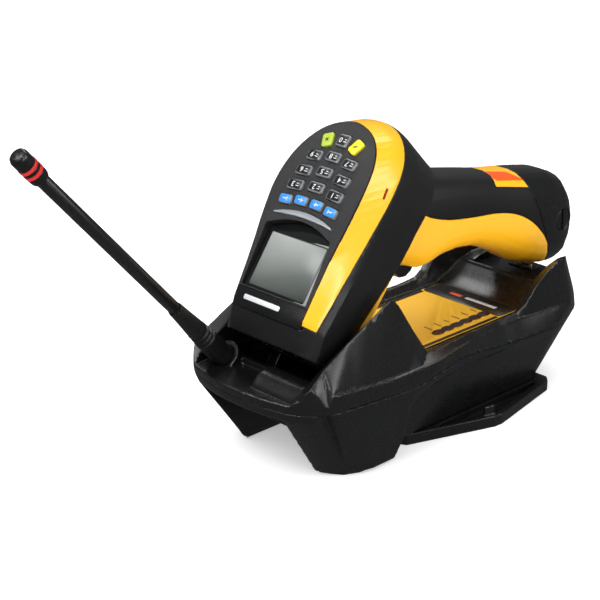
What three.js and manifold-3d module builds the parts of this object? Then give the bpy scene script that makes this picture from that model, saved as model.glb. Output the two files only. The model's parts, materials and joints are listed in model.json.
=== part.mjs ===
// A cordless hand-held barcode scanner standing in its base station.
// Millimetres, +Z up.  The origin is on the ground under the middle of the base station, the
// antenna end points along -Y and the handle of the docked scanner along +Y.
import * as THREE from "three";
import { mergeVertices } from "three/addons/utils/BufferGeometryUtils.js";
import Module from "manifold-3d";

const wasm = await Module();
wasm.setup();

// ---- driving dimensions -------------------------------------------------------------------
const GAP = 0.3; // clearance between two pieces that touch
const WALL = 2.6; // wall of the scanner's casings
const BASE_WALL = 3; // wall of the base station's casings

// The scanner's face frame: x across, y up the face, z out of the face, origin mid-display.
const FACE_TILT = THREE.MathUtils.degToRad(54);
const FACE_ORIGIN = new THREE.Vector3(0, -87.2, 111.4);

const DISPLAY = { width: 42, height: 31.5 };
const SCREEN_OPENING = { half: 25, low: -17, shoulder: 17, corner: 20.2, crown: 25.4 };
const NOSE_V = -41.5; // the end of the nose, which the scanner reads through
const FACE_LOW = -29; // where the face panel ends above the nose
const BAND_LOW = -26.6; // where the coloured band ends, beside the strip
const STRIP_TOP = -18; // upper edge of the plain strip below the display
const KEY_TRAVEL = 1;
const KEY_PROUD = 1.4; // height of a key over the face
const KEY_FOOT = -2; // underside of every key, in the face frame
const KEY_CLEARANCE = 0.4;

const BASE = { frontY: -129, rearY: 134, halfFront: 54, halfRear: 50 };
const WELL = { half: 38.3, frontY: -99, floor: 36 };
const REST_Z = 59; // level that the handle's butt rests on
const BRACKET = { low: 0, high: 6.5 };

const ANTENNA = { x: -30.9, y: -100, z: 47.2, lean: THREE.MathUtils.degToRad(41.8), whip: 3.7, top: 203 };

// ---- colours ------------------------------------------------------------------------------
const BLACK = { color: 0x1c1d1e, roughness: 0.45, metalness: 0 };
const RUBBER = { color: 0x232425, roughness: 0.75, metalness: 0 };
const PANEL = { color: 0x26282a, roughness: 0.6, metalness: 0 };
const YELLOW = { color: 0xf5b71f, roughness: 0.4, metalness: 0 };
const KEY_GREY = { color: 0x3a3d40, roughness: 0.5, metalness: 0 };
const KEY_BLUE = { color: 0x2f95ea, roughness: 0.45, metalness: 0 };
const KEY_GREEN = { color: 0xb9cf40, roughness: 0.45, metalness: 0 };
const KEY_YELLOW = { color: 0xf6e01c, roughness: 0.45, metalness: 0 };
const SILVER = { color: 0xa0a7ab, roughness: 0.35, metalness: 0.3 };
const RED = { color: 0xe03028, roughness: 0.4, metalness: 0 };
const GLASS = { color: 0x8d9a95, roughness: 0.08, metalness: 0 };
const SMOKED = { color: 0x2a0d0d, roughness: 0.1, metalness: 0 };
const BOARD = { color: 0x1f6b3a, roughness: 0.6, metalness: 0 };
const METAL = { color: 0xc9ccd0, roughness: 0.3, metalness: 1 };
const GOLD = { color: 0xd9b45a, roughness: 0.3, metalness: 1 };
const LABEL = { color: 0xf2b52f, roughness: 0.5, metalness: 0 };
const CELL = { color: 0x3b4a66, roughness: 0.5, metalness: 0 };

// ---- solids -------------------------------------------------------------------------------
function solidOf(geometry) {
  const bare = geometry.index ? geometry.toNonIndexed() : geometry.clone();
  bare.deleteAttribute("normal");
  bare.deleteAttribute("uv");
  const merged = mergeVertices(bare, 1e-4);
  const vertProperties = merged.attributes.position.array;
  const triVerts = new Uint32Array(merged.index.array);
  const made = new wasm.Manifold(new wasm.Mesh({ numProp: 3, vertProperties, triVerts }));
  if (made.volume() > 0) return made;
  triVerts.reverse();
  return new wasm.Manifold(new wasm.Mesh({ numProp: 3, vertProperties, triVerts }));
}

function geometryOf(solid) {
  const mesh = solid.getMesh();
  const geometry = new THREE.BufferGeometry();
  geometry.setAttribute("position", new THREE.BufferAttribute(mesh.vertProperties, 3));
  geometry.setIndex(new THREE.BufferAttribute(mesh.triVerts, 1));
  geometry.computeVertexNormals();
  return geometry;
}

// A closed skin over rings of equal length.  Each ring is a mirror image across x = 0: its right
// half from one end to the other, then its left half back, so each end closes with rungs.
function loft(rings) {
  const count = rings[0].length;
  const triangles = [];
  for (let k = 0; k + 1 < rings.length; k++) {
    for (let i = 0; i < count; i++) {
      const j = (i + 1) % count;
      triangles.push(rings[k][i], rings[k][j], rings[k + 1][j]);
      triangles.push(rings[k][i], rings[k + 1][j], rings[k + 1][i]);
    }
  }
  for (const [ring, flip] of [[rings[0], true], [rings[rings.length - 1], false]]) {
    for (let i = 0; i < count / 2 - 1; i++) {
      const [a, b, c, d] = [ring[i], ring[i + 1], ring[count - 2 - i], ring[count - 1 - i]];
      if (flip) triangles.push(a, c, b, a, d, c);
      else triangles.push(a, b, c, a, c, d);
    }
  }
  return solidOf(new THREE.BufferGeometry().setFromPoints(triangles));
}

// A half outline and its mirror image, as one ring.
function mirrored(half) {
  const left = half.map((p) => new THREE.Vector3(-p.x, p.y, p.z)).reverse();
  return [...half, ...left];
}

function shapeOf(points) {
  return new THREE.Shape(points.map(([x, y]) => new THREE.Vector2(x, y)));
}

// An outline in x and y, extruded along z.
function prism(points, z0, z1) {
  const options = { depth: z1 - z0, bevelEnabled: false, curveSegments: 8 };
  const shape = points instanceof THREE.Shape ? points : shapeOf(points);
  return solidOf(new THREE.ExtrudeGeometry(shape, options).translate(0, 0, z0));
}

// An outline in y and z, extruded along x over +-half, or from x0 to x1.
function sidePrism(points, x0, x1) {
  const options = { depth: x1 - x0, bevelEnabled: false };
  const geometry = new THREE.ExtrudeGeometry(shapeOf(points), options);
  const turn = new THREE.Matrix4().set(0, 0, 1, x0, 1, 0, 0, 0, 0, 1, 0, 0, 0, 0, 0, 1);
  return solidOf(geometry.applyMatrix4(turn));
}

function box(x0, x1, y0, y1, z0, z1) {
  const geometry = new THREE.BoxGeometry(x1 - x0, y1 - y0, z1 - z0);
  return solidOf(geometry.translate((x0 + x1) / 2, (y0 + y1) / 2, (z0 + z1) / 2));
}

// A solid of revolution about z from [radius, height] pairs that start and end on the axis.
function turned(profile, segments = 24) {
  const points = profile.map(([r, z]) => new THREE.Vector2(r, z));
  return solidOf(new THREE.LatheGeometry(points, segments).rotateX(Math.PI / 2));
}

function disc(radius, z0, z1, segments = 24) {
  return turned([[0, z0], [radius, z0], [radius, z1], [0, z1]], segments);
}

function moved(solid, matrix) {
  return solid.transform(matrix.elements);
}

function shifted(solid, x, y, z) {
  return solid.translate([x, y, z]);
}

function roundedRect(width, height, radius) {
  const [w, h] = [width / 2, height / 2];
  const shape = new THREE.Shape();
  shape.moveTo(-w + radius, -h);
  shape.lineTo(w - radius, -h);
  shape.absarc(w - radius, -h + radius, radius, -Math.PI / 2, 0, false);
  shape.lineTo(w, h - radius);
  shape.absarc(w - radius, h - radius, radius, 0, Math.PI / 2, false);
  shape.lineTo(-w + radius, h);
  shape.absarc(-w + radius, h - radius, radius, Math.PI / 2, Math.PI, false);
  shape.lineTo(-w, -h + radius);
  shape.absarc(-w + radius, -h + radius, radius, Math.PI, 1.5 * Math.PI, false);
  return shape;
}

// Straight-line interpolation in a short list of [at, value] pairs.
function between(list, at) {
  const next = list.findIndex(([key]) => key >= at);
  if (next === 0) return list[0][1];
  if (next < 0) return list[list.length - 1][1];
  const [[k0, v0], [k1, v1]] = [list[next - 1], list[next]];
  return v0 + ((v1 - v0) * (at - k0)) / (k1 - k0);
}

function curvePoints(list, count) {
  const curve = new THREE.SplineCurve(list.map(([x, y]) => new THREE.Vector2(x, y)));
  return curve.getPoints(count).map((p) => [p.x, p.y]);
}

// ---- the exported group -------------------------------------------------------------------
const group = new THREE.Group();
const scanner = new THREE.Group();
const head = new THREE.Group();
head.position.copy(FACE_ORIGIN);
head.rotation.x = FACE_TILT;
scanner.add(head);
group.add(scanner);
head.updateMatrix();
const headMatrix = head.matrix.clone();

function add(parent, name, solid, finish) {
  const mesh = new THREE.Mesh(geometryOf(solid), new THREE.MeshStandardMaterial(finish));
  mesh.name = name;
  parent.add(mesh);
  return mesh;
}

// ---- the scanner's head, in the face frame -------------------------------------------------
// Each outline is the right half, from the nose up to the crown: [x, v].
const FACE_EDGE = [
  [26, NOSE_V], [26.6, -27], [28.4, 5], [30.5, 25], [31.6, 40], [31.4, 50], [30, 60],
  [27.4, 68], [23.6, 75], [18.8, 80.4], [13, 84.3], [6, 87], [1.2, 87.8],
];
const BAND_EDGE = [
  [31, NOSE_V], [31.6, -27], [34.3, 5], [36, 39], [36.3, 52], [35.5, 63],
  [33.4, 71], [30.3, 78.3], [26, 84.6], [20.5, 90], [13.5, 94], [6, 95.9], [1.3, 96.3],
];
const WIDEST = [
  [34.5, NOSE_V], [35.8, -27], [37, 3], [37, 30], [37, 48], [36.3, 60],
  [34.5, 69], [31, 77.5], [26, 85], [18, 92], [8, 96.7], [1.5, 97.8],
];
const BUMPER_REAR = [
  [32.5, NOSE_V], [34, -27], [34.5, 3], [34.5, 30], [34, 48], [33, 60],
  [31, 69], [28, 77], [23.5, 83], [16.5, 88.5], [8, 91.6], [1.5, 92.4],
];
const BACK_EDGE = [
  [26, NOSE_V], [27, -27], [27, 3], [27, 30], [26.5, 48], [25.5, 60],
  [24, 68], [21.5, 74], [18, 79], [12.5, 83], [6, 85.2], [1.2, 85.8],
];
// Height of the surface along each of those outlines: [v, w].
const FACE_RISE = [
  [NOSE_V, -6], [-28, 0.8], [-18, 1.5], [20, 5], [40, 6], [52, 5.3], [64, 3.8], [76, 2], [88, 0.5],
];
const BAND_DROP = [
  [NOSE_V, -9], [-27, -4.3], [5, -5.7], [39, -8.4], [63, -10.6], [78, -13], [90, -14.4], [97, -15.5],
];
const BUMPER_DEPTH = [
  [NOSE_V, -34], [-10, -36], [9, -40], [29, -44], [50, -46], [70, -50], [93, -54],
];
const BACK_DEPTH = [[NOSE_V, -47], [0, -50.5], [60, -53], [86, -57]];
const [BACK_LOW, BACK_HIGH] = [-33, 62]; // ends of the coloured back along v
const BAND_SKIRT = 1.8; // how far the band turns down over the side
const SIDE_SAMPLES = 22;

function headRing(outline, height, inset = 0, sink = 0) {
  const acrossScale = 1 - inset / 37;
  const alongScale = 1 - inset / 71;
  const midV = 27;
  const half = curvePoints(outline, SIDE_SAMPLES).map(([x, v]) => {
    const w = (typeof height === "number" ? height : between(height, v)) + sink;
    return new THREE.Vector3(x * acrossScale, midV + (v - midV) * alongScale, w);
  });
  return mirrored(half);
}

function scaledAcross(ring, scale) {
  return ring.map((p) => new THREE.Vector3(p.x * scale, p.y, p.z));
}

// The whole outside of the head, or the space inside its walls when inset.
function headBody(inset) {
  const face = headRing(FACE_EDGE, FACE_RISE, inset, -inset);
  return loft([
    scaledAcross(face, 0.04),
    scaledAcross(face, 0.6),
    face,
    headRing(BAND_EDGE, BAND_DROP, inset, -inset * 0.4),
    headRing(WIDEST, BAND_DROP, inset, -6),
    headRing(WIDEST, -28, inset),
    headRing(BUMPER_REAR, BUMPER_DEPTH, inset, inset * 0.4),
    headRing(BACK_EDGE, BACK_DEPTH, inset, inset),
  ]);
}

// Everything on the outer side of a height list, as a knife that is wider than the head.
function above(height, sink, from, to) {
  const edge = height.filter(([v]) => v > from && v < to);
  const line = [[from, between(height, from)], ...edge, [to, between(height, to)]];
  const low = line.map(([v, w]) => [v, w + sink]);
  return sidePrism([...low, [to, 40], [from, 40]], -50, 50);
}

function below(height, sink, from, to) {
  const edge = height.filter(([v]) => v > from && v < to);
  const line = [[from, between(height, from)], ...edge, [to, between(height, to)]];
  const top = line.map(([v, w]) => [v, w + sink]);
  return sidePrism([[from, -90], [to, -90], ...top.reverse()], -50, 50);
}

function facePrism(grow, low) {
  const half = curvePoints(FACE_EDGE, SIDE_SAMPLES).filter(([, v]) => v > low);
  const [endX] = curvePoints(FACE_EDGE, SIDE_SAMPLES).find(([, v]) => v > low);
  const right = half.map(([x, v]) => [x + grow * (x > 8 ? 1 : 0.3), v + grow * (v > 60)]);
  right.unshift([endX + grow, low]);
  const left = right.map(([x, v]) => [-x, v]).reverse();
  return prism([...right, ...left], -14, 40);
}

function screenOpening(grow, z0, z1) {
  const { half, low, shoulder, corner, crown } = SCREEN_OPENING;
  const [side, top] = [half + grow, corner + grow];
  const arch = 2 * (crown + grow) - top;
  const shape = new THREE.Shape();
  shape.moveTo(-side, low - grow);
  shape.lineTo(side, low - grow);
  shape.lineTo(side, shoulder);
  shape.quadraticCurveTo(side, top, side - 2.5, top);
  shape.quadraticCurveTo(0, arch, -side + 2.5, top);
  shape.quadraticCurveTo(-side, top, -side, shoulder);
  return prism(shape, z0, z1);
}

// The keypad: [name, x, v, width, height, finish], rows counted from the display.
const KEYS = [
  ["key_f1", -17.2, 34.6, 9.6, 5.4, KEY_BLUE],
  ["key_f2", -5.9, 36.1, 9.6, 5.4, KEY_BLUE],
  ["key_f3", 5.9, 36.1, 9.6, 5.4, KEY_BLUE],
  ["key_f4", 17.2, 34.6, 9.6, 5.4, KEY_BLUE],
  ["key_3", -15.1, 43.8, 11.2, 6, KEY_GREY],
  ["key_2", 0, 45.5, 11.2, 6, KEY_GREY],
  ["key_1", 15.1, 43.8, 11.2, 6, KEY_GREY],
  ["key_6", -14.5, 53, 11, 6, KEY_GREY],
  ["key_5", 0, 55, 11, 6, KEY_GREY],
  ["key_4", 14.5, 53, 11, 6, KEY_GREY],
  ["key_9", -13.2, 63, 10.2, 6, KEY_GREY],
  ["key_8", 0, 64.8, 10.2, 6, KEY_GREY],
  ["key_7", 13.2, 63, 10.2, 6, KEY_GREY],
  ["key_0", 0, 75.4, 8.4, 7.6, KEY_GREY],
  ["key_green", -10.8, 73.6, 7, 8.6, KEY_GREEN],
  ["key_yellow", 10.8, 73.6, 7, 8.6, KEY_YELLOW],
];

// Keys beside the top row lean with the outline; the outer number keys fan a little.
function keyOutline([name, x, v, width, height], grow) {
  const shape = roundedRect(width + 2 * grow, height + 2 * grow, 1.6 + grow);
  const fan = name === "key_green" || name === "key_yellow" ? 0.42 : 0.1;
  const turn = x === 0 ? 0 : -Math.sign(x) * (Math.abs(x) < 8 ? 0.05 : fan);
  const points = shape.getPoints(2).map((p) => p.clone().rotateAround(new THREE.Vector2(), turn));
  return new THREE.Shape(points.map((p) => p.add(new THREE.Vector2(x, v))));
}

function keySolid(key) {
  const top = between(FACE_RISE, key[2]) + KEY_PROUD;
  const slope = (between(FACE_RISE, key[2] + 4) - between(FACE_RISE, key[2] - 4)) / 8;
  const blank = prism(keyOutline(key, 0), KEY_FOOT, top + 3);
  const lift = (v) => top + slope * (v - key[2]);
  const knife = sidePrism([[20, lift(20)], [95, lift(95)], [95, 30], [20, 30]], -40, 40);
  return blank.subtract(knife);
}

function lightBar(grow, z0, z1) {
  const shape = new THREE.Shape();
  shape.moveTo(-22 - grow, 25.6 - grow);
  shape.quadraticCurveTo(0, 29 - grow, 22 + grow, 25.6 - grow);
  shape.lineTo(22 + grow, 26.6 + grow);
  shape.quadraticCurveTo(0, 34.4 + grow, -22 - grow, 26.6 + grow);
  return prism(shape, z0, z1);
}

function addHead() {
  const outside = headBody(0);
  const inside = headBody(WALL);
  const shell = outside.subtract(inside);

  const faceRegion = facePrism(0, FACE_LOW);
  const faceGrown = facePrism(GAP, FACE_LOW - GAP);
  let face = shell.intersect(faceRegion);
  const strip = box(-40, 40, FACE_LOW, STRIP_TOP, -8, 12);
  const stripGrown = box(-40, 40, FACE_LOW - 1, STRIP_TOP + GAP, -8, 12);
  add(head, "front_strip", face.intersect(strip), BLACK);
  const collar = screenOpening(1.8, -1.8, 20).intersect(outside);
  face = face.add(collar).subtract(stripGrown).subtract(screenOpening(0, -12, 20));
  for (const key of KEYS) face = face.subtract(prism(keyOutline(key, KEY_CLEARANCE), -12, 20));
  face = face.subtract(lightBar(GAP, -12, 20));
  add(head, "face_cover", face, PANEL);

  const bandFloor = above(BAND_DROP, -BAND_SKIRT, BAND_LOW, 110);
  const bandGrown = above(BAND_DROP, -BAND_SKIRT - GAP, BAND_LOW - GAP, 110);
  const ledSlot = box(30, 40, 52.8, 59.2, -7.9, -6.3);
  const band = shell.intersect(bandFloor).subtract(faceGrown).subtract(ledSlot);
  add(head, "yellow_band", band, YELLOW);
  const led = outside.intersect(box(32, 40, 53.1, 58.9, -7.6, -6.6));
  add(head, "status_led", led.subtract(shifted(outside, -1.6, 0, -1.6)), RED);

  const window = box(-24, 24, NOSE_V - 2, NOSE_V + 4, -33, -11);
  const backSplit = below(BUMPER_DEPTH, 0, BACK_LOW, BACK_HIGH);
  const backGrown = below(BUMPER_DEPTH, -GAP, BACK_LOW + GAP, BACK_HIGH - GAP);
  let housing = shell.subtract(faceGrown).subtract(bandGrown).subtract(window);
  housing = housing.subtract(backSplit);
  add(head, "head_housing", largest(housing), RUBBER);
  return { outside, inside, shell, backGrown };
}

function largest(solid) {
  const bodies = solid.decompose();
  return bodies.sort((a, b) => b.volume() - a.volume())[0];
}

function addKeys() {
  for (const key of KEYS) add(head, key[0], keySolid(key), key[5]);
  const middle = between(FACE_RISE, 28.5);
  add(head, "light_bar", lightBar(0, 0.5, middle + 1), SILVER);
}

// ---- what the head holds -------------------------------------------------------------------
function addHeadInsides() {
  const { width, height } = DISPLAY;
  const lcd = box(-width / 2 - 2, width / 2 + 2, -height / 2 - 2, height / 2 + 2.6, -6, -2.1);
  add(head, "display_glass", screenOpening(-GAP, -1.8, 0), GLASS);
  add(head, "lcd_module", lcd, BOARD);
  const matRight = [[23, 29], [23, 58], [20, 69], [14, 78]];
  const matLeft = matRight.map(([x, v]) => [-x, v]).reverse();
  const matTop = KEY_FOOT - KEY_TRAVEL - GAP;
  add(head, "key_mat", prism([...matRight, ...matLeft], matTop - 1.4, matTop), RUBBER);
  const board = box(-25, 25, -20, 70, -9.2, -7.6);
  const chip = box(-8, 8, 5, 21, -11, -9);
  const radio = box(-9, 9, 45, 66, -12.2, -9);
  add(head, "main_board", board.add(chip).add(radio), BOARD);
  const window = prism(roundedRect(47.2, 21.2, 2), -1.4, 0);
  const stand = new THREE.Matrix4().makeRotationX(Math.PI / 2).setPosition(0, NOSE_V + 0.2, -22);
  add(head, "scan_window", moved(window, stand), SMOKED);
  const engine = box(-16, 16, -36, -14, -33, -11.5);
  const muzzle = box(-13, 13, NOSE_V + 2.1, -30, -30, -14);
  const throat = box(-11, 11, NOSE_V, -24, -28, -16);
  add(head, "scan_engine", engine.add(muzzle).subtract(throat), METAL);
  const lens = new THREE.Matrix4().makeRotationX(Math.PI / 2).setPosition(0, -29.3, -22);
  add(head, "engine_lens", moved(disc(4.5, 0, 5, 20), lens), GLASS);
}

// ---- the handle, in the common frame -------------------------------------------------------
// Sections from the head to the butt: [low y, low z, high y, high z, half width].
const HANDLE_SECTIONS = [
  [-46, 104, -24, 136, 15], [-22, 98, -14, 141, 18], [-2, 91.5, -1, 146, 19.2],
  [7, 88, 6, 147, 19.6], [14, 88, 14, 146, 19.8], [24, 91, 23, 143.8, 20], [40, 92, 38, 140.8, 20],
  [56, 90, 54, 137.5, 20], [70, 85, 70, 134, 20.3], [84, 77.8, 83, 131.8, 21],
  [97, 70, 92, 130.4, 21.8], [110, 65, 101, 129, 22.2], [121, 62.5, 111, 127.2, 22.4],
  [130.5, 61.5, 123, 124.8, 22.2], [136.5, 63.5, 133, 120.6, 21.4], [139.8, 69, 138.2, 114, 19.6],
  [141.5, 77, 140.8, 105.5, 16.5],
];
const ROUNDNESS = 2.7; // exponent of the handle's section: 2 is an ellipse
const SECTION_POINTS = 12; // per half

function handleRing([lowY, lowZ, highY, highZ, half], inset) {
  const low = new THREE.Vector3(0, lowY, lowZ);
  const high = new THREE.Vector3(0, highY, highZ);
  const middle = low.clone().lerp(high, 0.5);
  const up = high.clone().sub(low).multiplyScalar(0.5);
  const upScale = 1 - inset / up.length();
  const points = [];
  for (let i = 0; i < SECTION_POINTS; i++) {
    const angle = -Math.PI / 2 + (Math.PI * (i + 0.5)) / SECTION_POINTS;
    const power = 2 / ROUNDNESS;
    const across = Math.abs(Math.cos(angle)) ** power * (half - inset);
    const along = Math.sign(angle) * Math.abs(Math.sin(angle)) ** power * upScale;
    points.push(middle.clone().addScaledVector(up, along).setX(across));
  }
  return mirrored(points);
}

function handleBody(inset, last = HANDLE_SECTIONS.length) {
  return loft(HANDLE_SECTIONS.slice(0, last).map((section) => handleRing(section, inset)));
}

// The wavy line between the black upper grip and the yellow underside, in y and z.
const GRIP_LINE = [
  [-30, 134], [-8, 130], [6, 122.6], [24, 117], [48, 113.4], [65, 111.5], [82, 107.4],
  [97, 99.5], [110, 87.5], [119, 74], [124, 60],
];
// The face between the handle and its battery cap, in y and z.
const CAP_LINE = { low: [127, 54], high: [91, 133] };
const SCREW = { x: 20.8, y: 128, z: 93.5, radius: 6.4 };
const TRIGGER_PIVOT = { y: -9.5, z: 107.5 };

function underGripLine(sink) {
  const line = curvePoints(GRIP_LINE, 30).map(([y, z]) => [y, z + sink]);
  return sidePrism([[-60, 30], [124, 30], ...line.reverse(), [-60, 134 + sink]], -40, 40);
}

function behindCapLine(shift) {
  const [lowY, lowZ] = CAP_LINE.low;
  const [highY, highZ] = CAP_LINE.high;
  return sidePrism([[lowY + shift, lowZ], [170, lowZ], [170, highZ], [highY + shift, highZ]], -40, 40);
}

function addHandle({ outside, inside, shell, backGrown }) {
  const headOutside = moved(outside, headMatrix);
  const headGrown = moved(headBody(-0.35), headMatrix);
  const headInside = moved(inside, headMatrix);
  const outer = handleBody(0);
  const inner = handleBody(WALL, 12);
  const tube = outer.subtract(inner).subtract(behindCapLine(0));

  // Yellow: the handle's underside in one piece with the back of the head.
  const back = moved(shell.intersect(backGrown), headMatrix);
  const lower = tube.intersect(underGripLine(0)).subtract(headInside);
  const backPlate = back.subtract(inner.intersect(box(-40, 40, -30, 30, 96, 160)));
  const triggerSlot = box(-8.4, 8.4, -17.5, 9.5, 70, 101);
  const housing = backPlate.add(lower).subtract(triggerSlot);
  add(scanner, "handle_housing", largest(housing), YELLOW);

  const grip = tube.subtract(underGripLine(GAP)).subtract(headGrown).subtract(patchSolid(outer, GAP));
  add(scanner, "grip_cover", largest(grip), RUBBER);
  add(scanner, "handle_patch", patchSolid(outer, 0), YELLOW);

  const cap = outer.intersect(behindCapLine(GAP));
  const capRoom = handleBody(WALL).subtract(box(-40, 40, 130, 170, 40, 140));
  const capHollow = capRoom.intersect(behindCapLine(GAP - 1));
  add(scanner, "battery_cap", largest(cap.subtract(capHollow).subtract(screwBore())), BLACK);
  add(scanner, "cap_screw", screwSolid(), METAL);
}

function sideways(solid, x, y, z) {
  return moved(solid, new THREE.Matrix4().makeRotationY(Math.PI / 2).setPosition(x, y, z));
}

function screwBore() {
  return sideways(disc(SCREW.radius + GAP, -4.4, 12, 24), SCREW.x, SCREW.y, SCREW.z);
}

function screwSolid() {
  const knob = disc(SCREW.radius, -4, 1.2, 24);
  const slot = box(-7, 7, -0.9, 0.9, -0.4, 3);
  return sideways(knob.subtract(slot), SCREW.x, SCREW.y, SCREW.z);
}

// The coloured inlay that wraps over the handle in front of the cap, seen from the side: y, z.
const PATCH = [[70, 150], [70, 137], [67.5, 127], [104, 119], [104, 150]];
const PATCH_DEPTH = 1.5;

function patchSolid(outer, grow) {
  const [midY, midZ] = [80, 132];
  const wide = 1 + grow / 12;
  const outline = PATCH.map(([y, z]) => [midY + (y - midY) * wide, midZ + (z - midZ) * wide]);
  const skin = outer.subtract(handleBody(PATCH_DEPTH + grow));
  return sidePrism(outline, -40, 40).intersect(skin).subtract(behindCapLine(-GAP / 4));
}

function addTrigger() {
  const blade = [
    [-13.5, 106.5], [-14.5, 103], [-13, 96.5], [-10, 90.5], [-6, 86.1], [-0.5, 85.5], [4, 88],
    [6.5, 92], [5.5, 94], [0.5, 95.5], [-3.5, 99.5], [-5, 104.5], [-6, 109.5], [-10.5, 111.5],
  ];
  const solid = sidePrism(blade, -7.6, 7.6);
  const bore = sideways(disc(1.9, -12, 12, 16), 0, TRIGGER_PIVOT.y, TRIGGER_PIVOT.z);
  add(scanner, "trigger", solid.subtract(bore), BLACK);
  const pin = sideways(disc(1.6, -11, 11, 16), 0, TRIGGER_PIVOT.y, TRIGGER_PIVOT.z);
  add(scanner, "trigger_pin", pin, METAL);
}

function addBattery() {
  const turn = new THREE.Matrix4().makeRotationX(THREE.MathUtils.degToRad(-14.5));
  const pack = moved(box(-13, 13, -30, 30, -13.5, 13.5), turn.setPosition(0, 63, 111));
  add(scanner, "battery_pack", pack, CELL);
  const spring = new CoilCurve(2.2, 10.2, 5);
  const wire = new THREE.Shape().absarc(0, 0, 0.45, 0, 2 * Math.PI, false);
  const options = { steps: 44, bevelEnabled: false, extrudePath: spring, curveSegments: 3 };
  const coil = solidOf(new THREE.ExtrudeGeometry(wire, options));
  const lie = new THREE.Matrix4().makeRotationX(Math.PI / 2).setPosition(0, 9.2, 103);
  add(scanner, "trigger_spring", moved(coil, lie), METAL);
  add(scanner, "trigger_switch", box(-4, 4, -1.5, 6, 106.4, 112.4), BLACK);
}

class CoilCurve extends THREE.Curve {
  constructor(radius, length, turns) {
    super();
    Object.assign(this, { radius, length, turns });
  }
  getPoint(t) {
    const angle = 2 * Math.PI * this.turns * t;
    return new THREE.Vector3(this.radius * Math.cos(angle), this.radius * Math.sin(angle), this.length * t);
  }
}

const headSolids = addHead();
addKeys();
addHeadInsides();
addHandle(headSolids);
addTrigger();
addBattery();

// ---- the base station ----------------------------------------------------------------------
// The seam between the two housings, and the arch over the side recess, in y and z.
const SEAM = [
  [-134, 48.4], [-115, 48.2], [-101, 47.8], [-77, 45.8], [-40, 43.6], [-9, 46], [10, 46.3],
  [42, 43], [75, 41], [112, 40], [140, 40],
];
const SEAM_SAMPLES = 22;
const seamLine = curvePoints(SEAM, SEAM_SAMPLES);
const seamAt = (y) => between(seamLine, y);

// Half width of the base station at the seam.
const SIDE = [[-80, 54], [-39, 54.5], [-25, 54], [-5, 51.5], [15, 50], [140, 50]];

// Sections of the upper housing along y: outer ledge, inner ledge, rim outside, rim inside and
// deck edge, each as x, z.
const UPPER_SECTIONS = [
  [-134, [54, 52, 52, 53, 46, 53.2, 38, 53.2, 28, 53]],
  [-122, [54, 52, 52, 53, 47, 54.5, 39, 54, 37.5, 53]],
  [-117.5, [53.6, 50.5, 52.6, 51.5, 46.5, 61, 39.4, 57.5, 38.5, 53]],
  [-108.4, [53.6, 50.5, 52.6, 51.5, 45.6, 67.5, 39.4, 63.5, 38.5, 53]],
  [-104.4, [54, 58, 52, 58.6, 45.2, 70.3, 39.4, 66, 38.5, 53]],
  [-85, [54, 55.6, 52, 56.2, 44.6, 80.5, 39.2, 75.5, 38.5, 50]],
  [-70, [54, 54, 52, 54.6, 44.2, 87.4, 39, 82, 38.5, 50]],
  [-57, [54, 53, 52, 53.6, 44, 93.4, 38.9, 88, 38.5, 50]],
  [-53, [54, 53, 52, 53.6, 43.8, 95, 38.9, 90.4, 38.5, 50]],
  [-49.5, [54, 53, 52, 53.6, 43.8, 94.6, 38.9, 91, 38.5, 50]],
  [-45.5, [54, 53, 52, 53.6, 44, 90, 38.9, 87.5, 38.4, 50]],
  [-34, [54, 53, 52, 53.6, 44.6, 72.5, 38.9, 71, 38.3, 50]],
  [-23, [53.9, 53, 51.5, 53.6, 45.6, 56.5, 39.5, 55.4, 38.2, 49.6]],
  [-16, [53.2, 53, 50.5, 53.6, 46, 56, 40, 54.6, 38, 49.6]],
  [0, [49.5, 52.6, 47.5, 53, 44, 55.6, 39.8, 54.4, 38, 49.6]],
  [20, [44.8, 51.8, 43.8, 52.2, 41.6, 55, 39.2, 54.2, 37.5, 49.6]],
  [45, [43, 51.4, 42, 51.8, 40.6, 54.8, 38.6, 54, 37, 49.6]],
  [62, [43.8, 51.2, 42.8, 51.8, 41.4, 55.6, 38.6, 54.4, 36.5, 49.6]],
  [69, [44.6, 51, 43.6, 51.8, 42.2, 59, 38.6, 57, 36, 49.6]],
  [77, [45.5, 51, 44.5, 52, 43.4, 69, 38.2, 66, 35.6, 49.8]],
  [86, [46.4, 51, 45.4, 52, 44, 76, 37.8, 72.4, 35, 54]],
  [96, [47.4, 51, 46.4, 52, 44.2, 80.4, 37.2, 76, 34, 60.5]],
  [106, [47.8, 50, 46.8, 51, 44, 81.2, 36.6, 77.5, 32.5, 64]],
  [117, [47.8, 50, 46.8, 51, 43, 79.6, 36, 76.5, 31, 65]],
  [138, [47.8, 50, 46.8, 51, 42, 72, 34, 70, 28, 65]],
];

// The hollow under the deck keeps below the deck edge, which is the last pair of a section.
function upperRing([y, section], inset) {
  const side = between(SIDE, y) - inset;
  const points = inset ? [[side, 20], [side, seamAt(y) + 0.5]] : [[side, 30], [side, seamAt(y)]];
  const [deckX, deckZ] = section.slice(-2);
  for (let i = 0; i < section.length; i += 2) {
    const underDeck = inset && i >= 4;
    const x = underDeck ? Math.min(section[i], deckX) - 0.01 * (i - 4) : section[i] - inset;
    points.push([x, (underDeck ? deckZ : section[i + 1]) - inset]);
  }
  return mirrored(points.map(([x, z]) => new THREE.Vector3(x, y, z)));
}

// The plan of the base station at one level: the front is an arc, the rear a full round end.
// rake draws the front corners back.
const FRONT_ARC = [[8, 0], [22, 1.6], [36, 5], [43, 9], [48, 14], [52, 19.5], [54, 26]];
const REAR_ROUND = { length: 58, power: 2 / 3, steps: 12 };

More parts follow.
